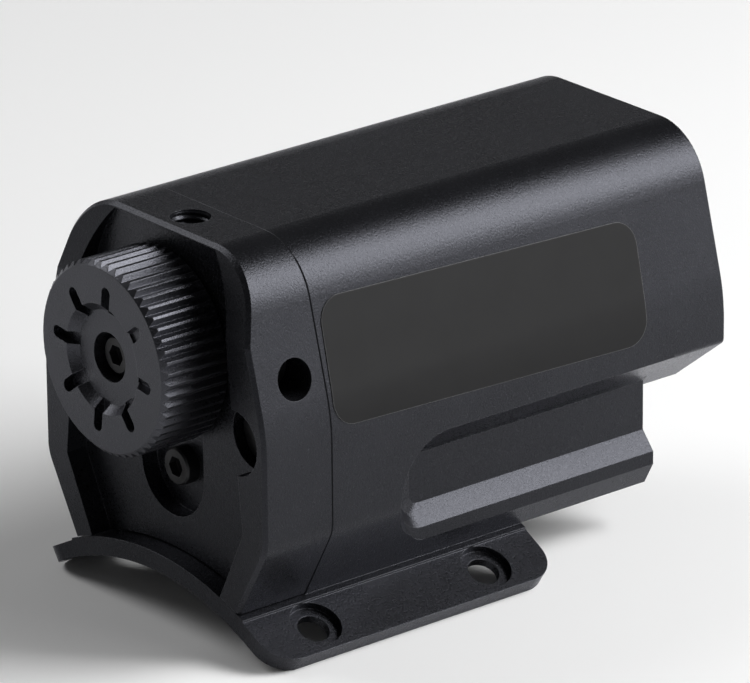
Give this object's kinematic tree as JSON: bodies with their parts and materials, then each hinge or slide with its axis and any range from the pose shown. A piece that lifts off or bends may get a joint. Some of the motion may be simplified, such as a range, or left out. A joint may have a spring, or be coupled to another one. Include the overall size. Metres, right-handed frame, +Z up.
{
  "type": "infrared illuminator module",
  "caption": "Black metal infrared illuminator with a knurled focus knob, alignment screws and a curved saddle with flanges that clamps on a tube.",
  "frame": {"origin": "crown of the saddle seat, on the centre plane and midway between the flange holes", "axes": "+X across towards the labelled flank, +Y along the body towards the lens end, +Z up away from the tube"},
  "size_m": [0.0392, 0.0672, 0.0425],
  "materials": {
    "black_anodised": "bead-blasted, black anodised",
    "black_knob": "knurled, matt black anodised",
    "black_steel": "black oxide",
    "bright_steel": "ground",
    "bearing_brass": "turned",
    "rubber_seal": "matt",
    "lens_glass": "polished",
    "circuit_board": "solder mask",
    "board_plastic": "moulded",
    "emitter_lens": "clear resin",
    "label_film": "satin film"
  },
  "bodies": {
    "base": {"housing": "black_anodised", "rear_cap": "black_anodised", "cap_seal": "rubber_seal", "cap_screws": "black_steel", "low_screw": "black_steel", "return_plunger": "bright_steel", "pivot_sleeve": "black_anodised", "front_ring": "black_anodised", "elevation_pins": "bright_steel", "driver_board": "circuit_board", "board_parts": "board_plastic", "contact_block": "board_plastic", "contact_pins": "bearing_brass", "side_label": "label_film"},
    "tilt_ring": {"gimbal_ring": "black_anodised", "windage_pins": "bright_steel"},
    "optic": {"optic_tube": "black_anodised", "lens": "lens_glass", "lens_seal": "rubber_seal", "lens_ring": "black_anodised", "spindle_bush": "bearing_brass", "spindle_seal": "rubber_seal", "guide_rods": "bright_steel"},
    "focus_drive": {"focus_knob": "black_knob", "knob_screw": "black_steel", "focus_spindle": "bright_steel", "spindle_clip": "bright_steel"},
    "carriage": {"emitter_carriage": "black_anodised", "emitter_board": "circuit_board", "emitter": "emitter_lens"},
    "elevation_adjuster": {"elevation_screw": "black_steel"},
    "windage_adjuster": {"windage_screw": "black_steel"}
  },
  "joints": [
    {"name": "elevation_tilt", "type": "hinge", "parent": "base", "child": "tilt_ring", "pos_m": [0, 0.038, 0.0245], "axis": [1, 0, 0], "range_deg": [-0.5, 0.5]},
    {"name": "windage_tilt", "type": "hinge", "parent": "tilt_ring", "child": "optic", "pos_m": [0, 0.038, 0.0245], "axis": [0, 0, 1], "range_deg": [-0.5, 0.5]},
    {"name": "carriage_slide", "type": "slide", "parent": "optic", "child": "carriage", "axis": [0, 1, 0], "range_m": [0, 0.005]},
    {"name": "focus_turn", "type": "hinge", "parent": "optic", "child": "focus_drive", "pos_m": [0, -0.0248, 0.0245], "axis": [0, 1, 0], "range_deg": [-3, 303]},
    {"name": "elevation_screw_travel", "type": "slide", "parent": "base", "child": "elevation_adjuster", "axis": [0, 0, 1], "range_m": [-0.00046, 0.00046]},
    {"name": "windage_screw_travel", "type": "slide", "parent": "base", "child": "windage_adjuster", "axis": [1, 0, 0], "range_m": [-0.00046, 0.00046]}
  ],
  "couplings": [
    {"joint": "focus_turn", "follows": "carriage_slide", "rad_per_m": 1047.2},
    {"joint": "elevation_screw_travel", "follows": "elevation_tilt", "m_per_rad": -0.0513},
    {"joint": "windage_screw_travel", "follows": "windage_tilt", "m_per_rad": 0.05165}
  ]
}
